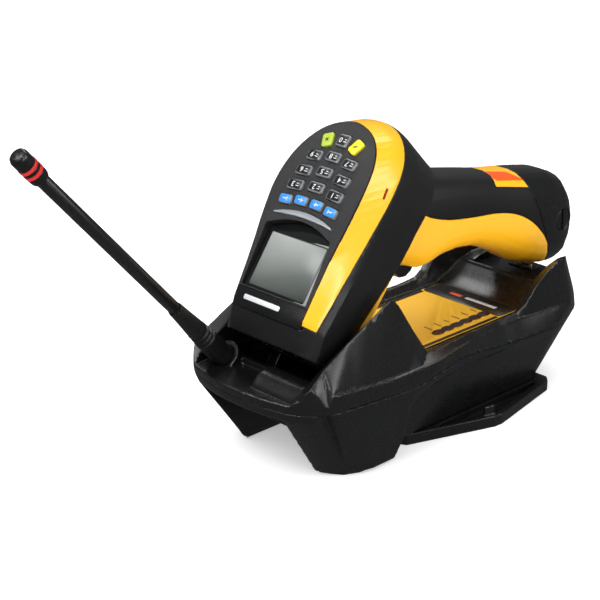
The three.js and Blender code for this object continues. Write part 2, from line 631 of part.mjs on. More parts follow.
function planRing(z, frontY, rearY, halfFront, halfRear, inset, rake = 1) {
  const points = FRONT_ARC.map(([x, y]) => [x * (halfFront / BASE.halfFront), frontY + y * rake]);
  points.push([halfFront + 0.6, -72], [halfFront + 0.6, -30], [halfRear + 0.6, 10], [halfRear + 0.6, 50]);
  const { length, power, steps } = REAR_ROUND;
  for (let i = 1; i <= steps; i++) {
    const angle = ((i - 0.5) / steps) * (Math.PI / 2);
    const y = rearY - length + length * Math.sin(angle) ** power;
    points.push([halfRear * Math.cos(angle) ** power, y]);
  }
  return mirrored(points.map(([x, y]) => {
    return new THREE.Vector3(x - inset * (x > 9), y + (y < 0 ? inset : -inset), z);
  }));
}

function planBody(inset) {
  const { frontY, rearY, halfFront, halfRear } = BASE;
  return loft([
    planRing(-1, -97.5, 94, 49.5, 45.5, inset, 1.3),
    planRing(44, frontY + 1.5, rearY, halfFront, halfRear, inset),
    planRing(52, frontY, rearY - 1, halfFront, halfRear, inset),
    planRing(110, frontY + 8, rearY - 26, halfFront, halfRear, inset),
  ]);
}

function underSeam(sink) {
  const line = seamLine.map(([y, z]) => [y, z + sink]);
  return sidePrism([[-134, -20], [140, -20], ...line.reverse()], -70, 70);
}

// The rounded hump across the front of the deck, and the collar the antenna stands in.
const HUMP = { y: -108.5, z: 48, radius: 13, x0: 6, x1: 38 };
const COLLAR = { radius: 10, bore: 7.2 };
const antennaMatrix = new THREE.Matrix4()
  .makeRotationX(ANTENNA.lean)
  .setPosition(ANTENNA.x, ANTENNA.y, ANTENNA.z);
const SADDLE = { half: 24.2, fromY: 99, floor: REST_Z };

function wellSolid() {
  const { half, frontY, floor } = WELL;
  const well = [
    [frontY, 80], [frontY, 44], [frontY + 6, floor], [-70, floor], [-60.5, 50], [-38, 83], [-38, 120],
    [frontY, 120],
  ];
  return sidePrism(well, -half, half);
}

// The walls of the well, and with more growth the room they take in the lower housing.
function bucketSolid(grow) {
  const { half, frontY, floor } = WELL;
  const [front, bottom] = [frontY - grow, floor - grow];
  const outline = [[front, 56], [front, bottom], [-70 + grow, bottom], [-55 + grow, 56]];
  return sidePrism(outline, -half - grow, half + grow);
}

function addUpperHousing(plan, planInside) {
  const upper = loft(UPPER_SECTIONS.map((section) => upperRing(section, 0)));
  const hollow = loft(UPPER_SECTIONS.map((section) => upperRing(section, BASE_WALL)));
  const hump = sidePrism(roundOutline(HUMP.y, HUMP.z, HUMP.radius, 14), HUMP.x0, HUMP.x1);
  const collar = moved(disc(COLLAR.radius, -14, 12, 28), antennaMatrix);
  let shell = upper.add(hump).add(collar).intersect(plan).subtract(underSeam(0));
  shell = shell.subtract(hollow.intersect(planInside));
  shell = shell.add(bucketSolid(BASE_WALL).subtract(underSeam(0)));
  const frameHalf = SADDLE.half + BASE_WALL;
  const pocketFrame = box(-frameHalf, frameHalf, SADDLE.fromY - 3, BASE.rearY - 8, REST_Z - 3, REST_Z + 3);
  shell = shell.add(pocketFrame.intersect(plan));
  const blockHole = box(-9.3, 9.3, CONTACT.y - 5.3, CONTACT.y + 4.3, 50, 70);
  shell = shell.subtract(wellSolid()).subtract(saddleSolid()).subtract(blockHole);
  add(group, "upper_housing", largest(shell.subtract(moved(collarBore(), antennaMatrix))), BLACK);
}

function collarBore() {
  return disc(COLLAR.bore, 5.2, 30, 28).add(disc(4.2, -30, 6, 20));
}

function roundOutline(midY, midZ, radius, count) {
  const points = [];
  for (let i = 0; i <= count; i++) {
    const angle = (Math.PI * i) / count;
    points.push([midY - radius * Math.cos(angle), midZ + radius * Math.sin(angle)]);
  }
  return points.reverse();
}

function saddleSolid() {
  const outline = [[SADDLE.fromY, SADDLE.floor], [150, SADDLE.floor], [150, 110], [SADDLE.fromY - 12, 110]];
  return sidePrism(outline, -SADDLE.half, SADDLE.half);
}

// Sections of the lower housing along y: arch, top of the recessed wall, foot, each as x, z.
const LOWER_SECTIONS = [
  [-134, [50, 1.62, 49, 1.61, 48, 1.6]], [-52, [49.2, 1.62, 48, 1.61, 47, 1.6]],
  [-47.5, [51, 12, 45, 11, 42, 6.8]], [-45, [52, 23.5, 45, 22, 42, 6.8]],
  [-40.6, [52.8, 33, 45.5, 31, 42, 6.8]], [-30, [53.2, 38.4, 46, 36.5, 42, 6.8]],
  [-16, [52.4, 40.5, 46.5, 38.6, 42, 6.8]], [8, [50.2, 41.5, 47, 39.6, 42, 6.8]],
  [30, [49.7, 40.5, 48.2, 38.8, 42, 6.8]], [55, [49.6, 39.5, 49, 38.4, 42.5, 6.8]],
  [138, [49.6, 37, 49, 36, 43, 6.8]],
];

function lowerRing([y, section], inset) {
  const side = between(SIDE, y) - inset;
  const points = [[side, 60], [side, Math.max(section[1] + 0.8, 42)]];
  for (let i = 0; i < section.length; i += 2) {
    points.push([section[i] - inset, section[i + 1] + (i === 4 ? inset : 0)]);
  }
  return mirrored(points.reverse().map(([x, z]) => new THREE.Vector3(x, y, z)));
}

// The opening between the front legs, narrower towards the ground, and the way back to the sockets.
const TUNNEL = { low: 28, high: 33.5 };

function tunnelSolid() {
  const { low, high } = TUNNEL;
  const front = prism([[-low, -5], [low, -5], [high, 43], [-high, 43]], 0, 110);
  const upright = new THREE.Matrix4().makeRotationX(Math.PI / 2).setPosition(0, -35, 0);
  const side = [[-140, -5], [-140, 43], [-103, 43], [-103, 27], [-52, 27], [-40, 6.8], [-40, -5]];
  return moved(front, upright).intersect(sidePrism(side, -50, 50));
}

function addLowerHousing(plan, planInside) {
  const lower = loft(LOWER_SECTIONS.map((section) => lowerRing(section, 0)));
  const hollow = loft(LOWER_SECTIONS.map((section) => lowerRing(section, BASE_WALL)));
  let shell = lower.intersect(plan).intersect(underSeam(-GAP)).subtract(tunnelSolid());
  const room = box(-44, 44, -38, 120, 10.5, 70).add(box(-34, 34, -98, -36, 30, 70));
  shell = shell.subtract(room.intersect(hollow).intersect(planInside));
  shell = shell.subtract(bucketSolid(BASE_WALL + GAP)).subtract(screwBores()).subtract(socketHoles());
  shell = shell.subtract(moved(collarBore(), antennaMatrix));
  for (const side of [-1, 1]) shell = shell.subtract(legGroove(side));
  add(group, "lower_housing", largest(shell), BLACK);
}

// A groove down the outer corner of each front leg: [x, y] at the foot and at the seam.
function legGroove(side) {
  const sections = [[-2, [42.8, -86.5], [47.2, -80.5]], [60, [49.5, -119.5], [54.6, -112]]];
  const depth = 2.2;
  const rings = sections.map(([z, [x0, y0], [x1, y1]]) => {
    const deep = [(x0 + x1) / 2 - depth, (y0 + y1) / 2 + depth];
    return [[x0, y0], deep, deep, [x1, y1], [x1 + 5, y1 - 8], [x0 + 2, y0 - 8]].map(
      ([x, y]) => new THREE.Vector3(x * side, y, z),
    );
  });
  return solidOf(ringsSkin(rings));
}

// A skin over two convex rings, closed by fans.
function ringsSkin([low, high]) {
  const triangles = [];
  for (let i = 0; i < low.length; i++) {
    const j = (i + 1) % low.length;
    triangles.push(low[i], low[j], high[j], low[i], high[j], high[i]);
    if (i > 1) triangles.push(low[0], low[i], low[i - 1], high[0], high[i - 1], high[i]);
  }
  return new THREE.BufferGeometry().setFromPoints(triangles);
}

// The wall bracket that the base station slides onto, also its rear foot: [x, y], right half.
const BRACKET_EDGE = [[34, -36], [41, -33], [60.5, 22], [61, 28], [50, 85], [46, 89]];
const POCKET = [[44.5, -15], [56.6, 23], [56.8, 27], [47.5, 76], [44.5, 76]];
const RIB = [[54.6, 18], [56.2, 18], [57.6, 24.5], [56, 24.5]];
const SLOT = [[8, -24], [13, -24], [13, 8], [17, 12], [17, 22], [8, 22]];

function addBracket() {
  const left = BRACKET_EDGE.map(([x, y]) => [-x, y]).reverse();
  let plate = prism([...BRACKET_EDGE, ...left], BRACKET.low, BRACKET.high);
  for (const side of [-1, 1]) {
    const [pocket, rib, slot] = [POCKET, RIB, SLOT].map((points) => points.map(([x, y]) => [x * side, y]));
    plate = plate.subtract(prism(pocket, 2, 20)).subtract(prism(slot, -2, 20));
    plate = plate.add(prism(rib, 1, 12));
  }
  add(group, "wall_bracket", plate, BLACK);
}

const FOOT = [[29.5, -92], [36, -88.5], [41.5, -84.5], [45.5, -76], [46.5, -55], [29.5, -55]];
const CASE_SCREW = { x: 27, y: 62, headRadius: 3.4 };

function addFeetAndScrews() {
  for (const [name, side] of [["right", 1], ["left", -1]]) {
    const outline = FOOT.map(([x, y]) => [x * side, y]);
    add(group, "rubber_foot_" + name, prism(outline, 0, 1.3), RUBBER);
    const head = disc(CASE_SCREW.headRadius, 6.9, 9, 16).add(disc(1.5, 8.5, 17, 12));
    const drive = box(-2, 2, -0.5, 0.5, 5, 8).add(box(-0.5, 0.5, -2, 2, 5, 8));
    const screw = shifted(head.subtract(drive), side * CASE_SCREW.x, CASE_SCREW.y, 0);
    add(group, "case_screw_" + name, screw, METAL);
  }
}

function screwBores() {
  const bore = disc(CASE_SCREW.headRadius + GAP, 0, 9.3, 16).add(disc(1.5 + GAP, 8, 20, 12));
  return shifted(bore, CASE_SCREW.x, CASE_SCREW.y, 0).add(shifted(bore, -CASE_SCREW.x, CASE_SCREW.y, 0));
}

const LABEL_PLATE = { half: 31.5, fromY: -30, toY: 77, low: 49.9, high: 50.5 };
const STATUS_LIGHTS = { count: 6, x: 21.5, fromY: 14, pitch: 8.2, long: 4.6, wide: 3 };

function lightChain(grow, low, high) {
  const { count, x, fromY, pitch, long, wide } = STATUS_LIGHTS;
  let chain = null;
  for (let i = 0; i < count; i++) {
    const shape = new THREE.Shape();
    shape.absellipse(x, fromY + i * pitch, wide + grow, long + grow, 0, 2 * Math.PI, false, 0);
    const lens = prism(new THREE.Shape(shape.getPoints(6)), low, high);
    chain = chain ? chain.add(lens) : lens;
  }
  return chain;
}

function addLabel() {
  const { half, fromY, toY, low, high } = LABEL_PLATE;
  const sheet = prism(roundedRect(2 * half, toY - fromY, 4), low, high).translate([0, (fromY + toY) / 2, 0]);
  add(group, "deck_label", sheet.subtract(lightChain(GAP, 40, 60)), LABEL);
  add(group, "status_lights", lightChain(0, low, high + 0.4), SMOKED);
}

const CONTACT = { y: 121, x: 4.5, top: 61.2, radius: 1.2 };

function addBaseInsides() {
  const board = box(-33, 33, -28, 96, 20, 21.6);
  const parts = box(-14, 10, 0, 24, 21, 24.5).add(box(8, 26, 50, 74, 21, 26));
  add(group, "radio_board", board.add(parts), BOARD);
  let block = box(-9, 9, CONTACT.y - 5, CONTACT.y + 4, 53, 59.6);
  for (const side of [-1, 1]) {
    const hole = disc(CONTACT.radius + GAP, 50, 64, 12);
    block = block.subtract(shifted(hole, side * CONTACT.x, CONTACT.y, 0));
  }
  add(group, "contact_block", block, BLACK);
  for (const [name, side] of [["right", 1], ["left", -1]]) {
    const pin = turned([[0, 54.5], [1.2, 54.5], [1.2, 60.4], [0.7, CONTACT.top], [0, CONTACT.top]], 12);
    add(group, "contact_pin_" + name, shifted(pin, side * CONTACT.x, CONTACT.y, 0), GOLD);
  }
  const socket = box(-24, -9, -50, -32, 11, 23).subtract(box(-22, -11, -52, -38, 13, 21));
  add(group, "host_socket", socket, BLACK);
  const lie = new THREE.Matrix4().makeRotationX(Math.PI / 2).setPosition(16, -32, 17);
  const jack = disc(5, 0, 18, 20).subtract(disc(3.2, 4, 20, 16)).add(disc(1, 2, 15, 10));
  add(group, "power_jack", moved(jack, lie), METAL);
}

function socketHoles() {
  const lie = new THREE.Matrix4().makeRotationX(Math.PI / 2).setPosition(16, -32, 17);
  return box(-24.3, -8.7, -60, -31, 10.7, 23.3).add(moved(disc(5.3, -1, 30, 20), lie));
}

function addAntenna() {
  const antenna = new THREE.Group();
  antenna.position.set(ANTENNA.x, ANTENNA.y, ANTENNA.z);
  antenna.rotation.x = ANTENNA.lean;
  group.add(antenna);
  const { whip, top } = ANTENNA;
  const boot = [[0, 5.8], [6.3, 5.8], [6.9, 8], [6.5, 31]];
  for (const [radius, level] of [[6.3, 31.4], [6.1, 34.4], [5.9, 37.4]]) {
    boot.push([radius - 0.9, level], [radius - 0.9, level + 1.2]);
    boot.push([radius, level + 1.8], [radius, level + 2.4]);
  }
  boot.push([5.6, 42], [4.9, 52], [4.3, 62], [whip + GAP, 63], [whip + GAP, 44], [0, 44]);
  add(antenna, "antenna_boot", turned(boot, 16), RUBBER);
  const stud = disc(3.9, -4, 5.5, 16);
  add(antenna, "antenna_stud", stud, METAL);
  add(antenna, "antenna_whip", disc(whip, 44.3, top - 15, 16), BLACK);
  const ringLevels = [top - 14.6, top - 10.4];
  const [bore, body, seat] = [whip + GAP, 5.2, 4.5];
  const tip = [[0, top - 14.7], [bore, top - 14.7], [bore, top - 20]];
  tip.push([body - 0.6, top - 20], [body, top - 18]);
  for (const level of ringLevels) {
    tip.push([body, level - 0.2], [seat, level - 0.2], [seat, level + 2.2], [body, level + 2.2]);
  }
  tip.push([body, top - 2.4], [body - 0.7, top - 0.8], [body - 2, top], [0, top]);
  add(antenna, "antenna_tip", turned(tip, 16), BLACK);
  ringLevels.forEach((low, i) => {
    const band = [[seat + 0.2, low], [body + 0.2, low], [body + 0.2, low + 2], [seat + 0.2, low + 2]];
    const name = "antenna_ring_" + ["lower", "upper"][i];
    add(antenna, name, turned([...band, band[0]], 16), RED);
  });
}

const plan = planBody(0);
const planInside = planBody(BASE_WALL);
addUpperHousing(plan, planInside);
addLowerHousing(plan, planInside);
addBracket();
addFeetAndScrews();
addLabel();
addBaseInsides();
addAntenna();

export default group;
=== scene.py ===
"""Looks of a cordless hand-held barcode scanner docked in its base station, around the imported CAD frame."""

import json
import math

import bmesh
import bpy
import numpy as np
from mathutils import Matrix, Vector, kdtree


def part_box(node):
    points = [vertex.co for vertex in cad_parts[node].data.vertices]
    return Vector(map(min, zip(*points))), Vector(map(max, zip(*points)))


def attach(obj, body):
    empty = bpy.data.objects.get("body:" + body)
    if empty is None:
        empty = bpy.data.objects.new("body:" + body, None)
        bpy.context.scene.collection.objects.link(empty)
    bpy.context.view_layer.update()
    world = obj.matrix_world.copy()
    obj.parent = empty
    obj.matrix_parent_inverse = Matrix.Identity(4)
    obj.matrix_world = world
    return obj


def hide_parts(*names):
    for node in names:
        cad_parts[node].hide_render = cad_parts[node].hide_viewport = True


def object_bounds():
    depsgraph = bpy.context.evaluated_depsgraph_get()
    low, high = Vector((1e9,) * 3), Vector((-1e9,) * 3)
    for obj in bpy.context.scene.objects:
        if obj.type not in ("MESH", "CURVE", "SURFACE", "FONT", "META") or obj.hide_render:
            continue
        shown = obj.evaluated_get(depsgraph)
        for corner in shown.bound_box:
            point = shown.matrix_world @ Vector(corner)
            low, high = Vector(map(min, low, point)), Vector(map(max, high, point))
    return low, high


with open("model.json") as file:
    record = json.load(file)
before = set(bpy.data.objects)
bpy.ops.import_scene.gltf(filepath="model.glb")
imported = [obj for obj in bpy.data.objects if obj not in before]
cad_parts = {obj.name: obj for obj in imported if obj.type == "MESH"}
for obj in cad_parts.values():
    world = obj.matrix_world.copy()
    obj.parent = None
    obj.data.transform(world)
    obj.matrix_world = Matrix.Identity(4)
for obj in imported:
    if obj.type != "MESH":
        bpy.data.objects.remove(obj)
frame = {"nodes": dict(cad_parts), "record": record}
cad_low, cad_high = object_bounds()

MM = 0.001
SCENE = bpy.context.scene
SLOTS = {part["node"]: part["material_slot"] for part in frame["record"]["subparts"]}
BODIES = {node: body for body, nodes in frame["record"]["behaviour"]["bodies"].items() for node in nodes}

# ---- the face frame: x across, v up the face, w out of it, from the middle of the display ----
FACE_TILT = math.radians(54)
ACROSS = Vector((1, 0, 0))
UP = Vector((0, math.cos(FACE_TILT), math.sin(FACE_TILT)))
OUT = Vector((0, -math.sin(FACE_TILT), math.cos(FACE_TILT)))
DISPLAY_LOW = -16.7 * MM # where the display's window starts, from the middle of the display


def coordinates(mesh):
    flat = np.empty(len(mesh.vertices) * 3, np.float32)
    mesh.vertices.foreach_get("co", flat)
    return flat.reshape(-1, 3).astype(float)


def points_of(node):
    return coordinates(frame["nodes"][node].data)


def span(node, axis):
    """How far a CAD node reaches along an axis: its lowest and highest value."""
    along = points_of(node) @ np.array(axis)
    return along.min(), along.max()


FACE_V0 = span("display_glass", UP)[0] - DISPLAY_LOW
FACE_W0 = span("display_glass", OUT)[1]


def on_face(x, v, w):
    """A place in the face frame, given in millimetres, as a point in the common frame."""
    return ACROSS * (x * MM) + UP * (FACE_V0 + v * MM) + OUT * (FACE_W0 + w * MM)


def face_matrix(x, v, w):
    """Puts a drawing in the face: its x and y lie in the face, and read the right way up for the user."""
    matrix = Matrix((-ACROSS, -UP, OUT)).transposed().to_4x4()
    matrix.translation = on_face(x, v, w)
    return matrix


# ---- material nodes --------------------------------------------------------------------------
class Finish:
    """One material on a single shader, with short calls for the nodes that feed it."""

    def __init__(self, name, color, roughness, **sockets):
        self.material = bpy.data.materials.new(name)
        self.material.use_nodes = True
        self.tree = self.material.node_tree
        self.shader = self.tree.nodes["Principled BSDF"]
        self.place = self.node("ShaderNodeTexCoord").outputs["Object"]
        self.set("Base Color", (*color, 1))
        self.set("Roughness", roughness)
        for socket, value in sockets.items():
            self.set(socket.replace("_", " "), value)
        self.material.diffuse_color = (*color, 1)

    def node(self, kind, inputs=None, **settings):
        made = self.tree.nodes.new(kind)
        for name, value in settings.items():
            setattr(made, name, value)
        for name, value in (inputs or {}).items():
            self.feed(made.inputs[name], value)
        return made

    def feed(self, socket, value):
        if isinstance(value, bpy.types.NodeSocket):
            self.tree.links.new(value, socket)
        else:
            socket.default_value = value

    def set(self, socket, value):
        self.feed(self.shader.inputs[socket], value)

    def noise(self, size, detail=2.0, roughness=0.5):
        """Noise whose features are about size millimetres."""
        inputs = {"Vector": self.place, "Scale": 1 / (size * MM), "Detail": detail, "Roughness": roughness}
        return self.node("ShaderNodeTexNoise", inputs).outputs["Fac"]

    def cell_edges(self, size):
        """Distance to the nearest edge between cells of about size millimetres."""
        inputs = {"Vector": self.place, "Scale": 1 / (size * MM)}
        return self.node("ShaderNodeTexVoronoi", inputs, feature="DISTANCE_TO_EDGE").outputs["Distance"]

    def math(self, operation, a, b=0.0, c=0.0, clamp=False):
        made = self.node("ShaderNodeMath", operation=operation, use_clamp=clamp)
        for socket, value in zip(made.inputs, (a, b, c)):
            self.feed(socket, value)
        return made.outputs[0]

    def along(self, axis, origin=(0, 0, 0)):
        """Distance in millimetres along an axis."""
        moved = self.node("ShaderNodeVectorMath", operation="SUBTRACT")
        self.feed(moved.inputs[0], self.place)
        moved.inputs[1].default_value = origin
        dot = self.node("ShaderNodeVectorMath", operation="DOT_PRODUCT")
        self.feed(dot.inputs[0], moved.outputs[0])
        dot.inputs[1].default_value = Vector(axis) / MM
        return dot.outputs["Value"]

    def ramp(self, value, stops):
        made = self.node("ShaderNodeValToRGB", {"Fac": value})
        elements = made.color_ramp.elements
        while len(elements) < len(stops):
            elements.new(0.5)
        for element, (at, color) in zip(elements, stops):
            element.position = at
            element.color = (*color, 1)
        return made.outputs["Color"]

    def between(self, value, low, high):
        """0 at low and 1 at high."""
        return self.node("ShaderNodeMapRange", {"Value": value, "From Min": low, "From Max": high}).outputs[0]

    def spread(self, value, low, high):
        """A value from 0 to 1 as one from low to high."""
        return self.node("ShaderNodeMapRange", {"Value": value, "To Min": low, "To Max": high}).outputs[0]

    def bump(self, height, depth, strength=1.0):
        inputs = {"Height": height, "Distance": depth * MM, "Strength": strength}
        return self.node("ShaderNodeBump", inputs).outputs["Normal"]

    def worn_edges(self):
        """1 on the convex edges, where hands rub and where a painted edge highlight lightens them."""
        return self.between(self.node("ShaderNodeNewGeometry").outputs["Pointiness"], 0.53, 0.62)


def mixed(finish, factor, a, b):
    made = finish.node("ShaderNodeMix", data_type="RGBA")
    finish.feed(made.inputs[0], factor)
    finish.feed(made.inputs[6], (*a, 1) if isinstance(a, tuple) else a)
    finish.feed(made.inputs[7], (*b, 1) if isinstance(b, tuple) else b)
    return made.outputs[2]


def moulded_plastic(name, color, roughness, grain=0.45, depth=0.02, mottle=0.12, wear=1.25, **sockets):
    """Injection-moulded plastic: a fine spark-eroded grain, uneven gloss, and convex edges lightened both as
    rubbing wear and as a painted edge highlight.
    """
    finish = Finish(name, color, roughness, **sockets)
    cloud = finish.noise(14, 3)
    dark = tuple(c * (1 - mottle) for c in color)
    light = tuple(min(1, c * (1 + mottle)) for c in color)
    # convex edges lightened: partly rubbing wear, partly a painted edge highlight
    rubbed_and_highlit = tuple(min(1, c * wear + 0.004) for c in color)
    tone = mixed(finish, cloud, dark, light)
    finish.set("Base Color", mixed(finish, finish.worn_edges(), tone, rubbed_and_highlit))
    fine = finish.noise(grain, 2)
    smear = finish.noise(22, 4, roughness=0.6)
    blend = finish.math("ADD", finish.math("MULTIPLY", fine, 0.3), finish.math("MULTIPLY", smear, 0.7))
    finish.set("Roughness", finish.spread(blend, roughness * 0.78, roughness * 1.22))
    finish.set("Normal", finish.bump(fine, depth))
    return finish


DIAMOND_PITCH = 0.95 # mm
PIXEL_PITCH = 0.32 # mm


def diamond_panel(name):
    """The face's dark panel: a fine diamond grain, each dimple catching a little light."""
    finish = Finish(name, (0.014, 0.0145, 0.016), 0.42)
    a = finish.along((Vector(ACROSS) + UP).normalized())
    b = finish.along((Vector(ACROSS) - UP).normalized())
    waves = [finish.math("SINE", finish.math("MULTIPLY", s, 2 * math.pi / DIAMOND_PITCH)) for s in (a, b)]
    grid = finish.math("MULTIPLY", waves[0], waves[1])
    dots = finish.spread(finish.math("MULTIPLY_ADD", grid, 0.5, 0.5), 0, 1)
    stops = [(0.3, (0.004, 0.004, 0.0045)), (0.85, (0.02, 0.0205, 0.022))]
    finish.set("Base Color", finish.ramp(dots, stops))
    finish.set("Roughness", finish.spread(finish.noise(18, 3), 0.34, 0.52))
    finish.set("Normal", finish.bump(dots, 0.16, 0.9))
    return finish


def lcd_glass(name):
    """An unlit display: grey-green, with a painted reflection that lightens it towards one top corner, and a
    faint pixel grid.
    """
    finish = Finish(name, (0.25, 0.28, 0.26), 0.3, Coat_Weight=0.15, Coat_Roughness=0.3)
    across = finish.along(ACROSS, tuple(on_face(0, 0, 0)))
    up = finish.along(UP, tuple(on_face(0, 0, 0)))
    # painted reflection: a ramp across the pane lightens it towards one top corner, as a lamp mirrored in the
    # glass would
    reflection_slant = finish.math("ADD", finish.math("MULTIPLY", across, -0.35), up)
    tone = finish.between(reflection_slant, -22.0, 22.0)
    stops = [(0.0, (0.055, 0.062, 0.056)), (0.35, (0.12, 0.135, 0.125)), (0.62, (0.26, 0.28, 0.265)),
             (1.0, (0.48, 0.5, 0.48))]
    base = finish.ramp(tone, stops)
    lines = [finish.math("SINE", finish.math("MULTIPLY", s, 2 * math.pi / PIXEL_PITCH)) for s in (across, up)]
    grid = finish.math("MULTIPLY", finish.math("MAXIMUM", *lines), 0.1, clamp=True)
    finish.set("Base Color", mixed(finish, grid, base, (0.02, 0.03, 0.02)))
    finish.set("Roughness", finish.spread(finish.noise(9, 2), 0.26, 0.36))
    return finish


def metal(name, color, roughness):
    """Turned or plated metal with fine tool marks."""
    finish = Finish(name, color, roughness, Metallic=1.0)
    marks = finish.noise(0.5, 3)
    tone = finish.noise(4, 2)
    finish.set("Base Color", mixed(finish, tone, tuple(c * 0.8 for c in color), color))
    finish.set("Roughness", finish.spread(marks, roughness * 0.7, roughness * 1.5))
    finish.set("Normal", finish.bump(marks, 0.006))
    return finish


def circuit_board(name):
    """Green solder resist over copper tracks."""
    finish = Finish(name, (0.02, 0.16, 0.06), 0.35)
    line = finish.between(finish.cell_edges(2.4), 0.02, 0.06)
    finish.set("Base Color", mixed(finish, line, (0.04, 0.3, 0.12), (0.012, 0.11, 0.045)))
    finish.set("Roughness", finish.spread(finish.noise(3), 0.25, 0.45))
    finish.set("Normal", finish.bump(line, -0.03))
    return finish


def printed_film(name, color):
    """A printed polyester label: an even colour with a fine leather grain under a soft gloss."""
    finish = Finish(name, color, 0.38, Coat_Weight=0.25, Coat_Roughness=0.3)
    tone = finish.noise(30, 2)
    finish.set("Base Color", mixed(finish, tone, tuple(c * 0.94 for c in color), color))
    finish.set("Roughness", finish.spread(finish.noise(0.4, 2), 0.3, 0.46))
    finish.set("Normal", finish.bump(finish.noise(0.35, 1), 0.01))
    return finish


BLACK = (0.0048, 0.0051, 0.0056)
YELLOW = (0.92, 0.455, 0.01)
ORANGE = (0.75, 0.09, 0.012)


def coloured_key(name, color, **look):
    return moulded_plastic(name, color, 0.36, grain=0.3, depth=0.012, **look)


def glossy_yellow(name):
    return moulded_plastic(name, YELLOW, 0.3, grain=0.6, depth=0.008, mottle=0.03, wear=1.04,
                           Coat_Weight=0.2, Coat_Roughness=0.15)


FINISHES = {
    "black_plastic": moulded_plastic("satin_black", BLACK, 0.27, wear=1.2, Specular_IOR_Level=0.5),
    "black_rubber": moulded_plastic("soft_black", (0.0055, 0.0057, 0.0062), 0.4, grain=0.3, depth=0.03,
                                    wear=1.2, Specular_IOR_Level=0.45),
    "textured_panel": diamond_panel("diamond_panel"),
    "yellow_plastic": glossy_yellow("signal_yellow"),
    "grey_key": coloured_key("grey_key", (0.035, 0.036, 0.039), wear=5.0),
    "blue_key": coloured_key("blue_key", (0.03, 0.26, 0.85), mottle=0.05),
    "green_key": coloured_key("green_key", (0.43, 0.56, 0.045), mottle=0.05),
    "yellow_key": coloured_key("yellow_key", (0.85, 0.72, 0.02), mottle=0.05),
    "silver_plastic": moulded_plastic("silver_lacquer", (0.36, 0.39, 0.41), 0.3, grain=0.25, depth=0.01,
                                      Metallic=0.35),
    "red_plastic": moulded_plastic("signal_red", (0.5, 0.014, 0.01), 0.32, grain=0.4, depth=0.008,
                                   mottle=0.06),
    "display_glass": moulded_plastic("window_black", (0.008, 0.009, 0.009), 0.09, grain=0.8, depth=0.001,
                                     Coat_Weight=0.5, Coat_Roughness=0.04),
    "smoked_window": moulded_plastic("smoked_red", (0.03, 0.006, 0.006), 0.1, grain=0.8, depth=0.001,
                                     Coat_Weight=0.6, Coat_Roughness=0.05),
    "circuit_board": circuit_board("circuit_board"),
    "steel": metal("plated_steel", (0.56, 0.57, 0.58), 0.28),
    "gold": metal("gold_plate", (0.8, 0.58, 0.22), 0.25),
    "label_film": printed_film("label_yellow", (0.95, 0.56, 0.04)),
    "cell_wrap": moulded_plastic("cell_wrap", (0.03, 0.055, 0.13), 0.3, grain=1.2, depth=0.02),
}
LCD = lcd_glass("lcd_grey_painted_reflection")
KEY_FRAME = moulded_plastic("key_frame_grey", (0.14, 0.145, 0.155), 0.3, grain=0.3, depth=0.01, wear=2.2)
KEY_DARK = moulded_plastic("key_inlay_dark", (0.013, 0.0135, 0.0145), 0.32, grain=0.3, depth=0.01)
LAMP_RED = moulded_plastic("lamp_red", (0.2, 0.012, 0.008), 0.2, grain=0.6, depth=0.004)
PALE_INK = printed_film("pale_ink", (0.72, 0.74, 0.75))
DARK_INK = printed_film("dark_ink", (0.012, 0.012, 0.012))
ORANGE_INK = printed_film("orange_ink", ORANGE)


def marked(finish, outline, color):
    """Prints a flat shape, given by its corners in y and z, on what lies to the right of the mid plane."""
    middle = [sum(corner[k] for corner in outline) / len(outline) for k in (0, 1)]
    inside = finish.math("GREATER_THAN", finish.along(ACROSS), 0.0)
    for (y0, z0), (y1, z1) in zip(outline, outline[1:] + outline[:1]):
        normal = Vector((0, z0 - z1, y1 - y0)).normalized()
        if normal.y * (middle[0] - y0) + normal.z * (middle[1] - z0) < 0:
            normal.negate()
        beyond = finish.along(normal, (0, y0 * MM, z0 * MM))
        inside = finish.math("MULTIPLY", inside, finish.math("GREATER_THAN", beyond, 0.0))
    below = finish.shader.inputs["Base Color"].links[0].from_socket
    finish.set("Base Color", mixed(finish, inside, below, color))
    return finish


PATCH_MARK = [(64.6, 134.6), (86.5, 130.3), (96.4, 124.4), (70.6, 129.5)] # y, z in mm
PATCH_FINISH = marked(glossy_yellow("inlay_yellow"), PATCH_MARK, ORANGE)

# nodes whose material differs from the rest of their slot
OWN_FINISH = {"cap_screw": FINISHES["black_plastic"], "status_led": LAMP_RED, "handle_patch": PATCH_FINISH}
OWN_FINISH.update({"key_%d" % digit: KEY_FRAME for digit in range(10)})
OWN_FINISH.update({"key_f%d" % index: KEY_FRAME for index in range(1, 5)})


def paint(obj, finish):
    obj.data.materials.clear()
    obj.data.materials.append(finish.material)


# ---- pieces made from the CAD nodes ------------------------------------------------------------
WELD = 2e-6 # corners this close, in metres, are one
SHARP = math.radians(26) # edges that stay crisp; flatter ones are facets of a curved surface


def new_object(name, mesh):
    obj = bpy.data.objects.new(name, mesh)
    SCENE.collection.objects.link(obj)
    return obj


def welded(node):
    """A CAD node's mesh with its corners joined."""
    form = bmesh.new()
    form.from_mesh(frame["nodes"][node].data)
    bmesh.ops.remove_doubles(form, verts=form.verts, dist=WELD)
    return form


def sharp_tree(form, step):
    """Points along the crisp edges, for measuring how far a vertex lies from them."""
    points = []
    for edge in form.edges:
        if len(edge.link_faces) == 2 and edge.calc_face_angle(0.0) > SHARP:
            a, b = edge.verts[0].co, edge.verts[1].co
            count = max(1, math.ceil((b - a).length / step))
            points.extend(a.lerp(b, i / count) for i in range(count + 1))
    tree = kdtree.KDTree(max(1, len(points)))
    for index, point in enumerate(points):
        tree.insert(point, index)
    tree.balance()
    return tree


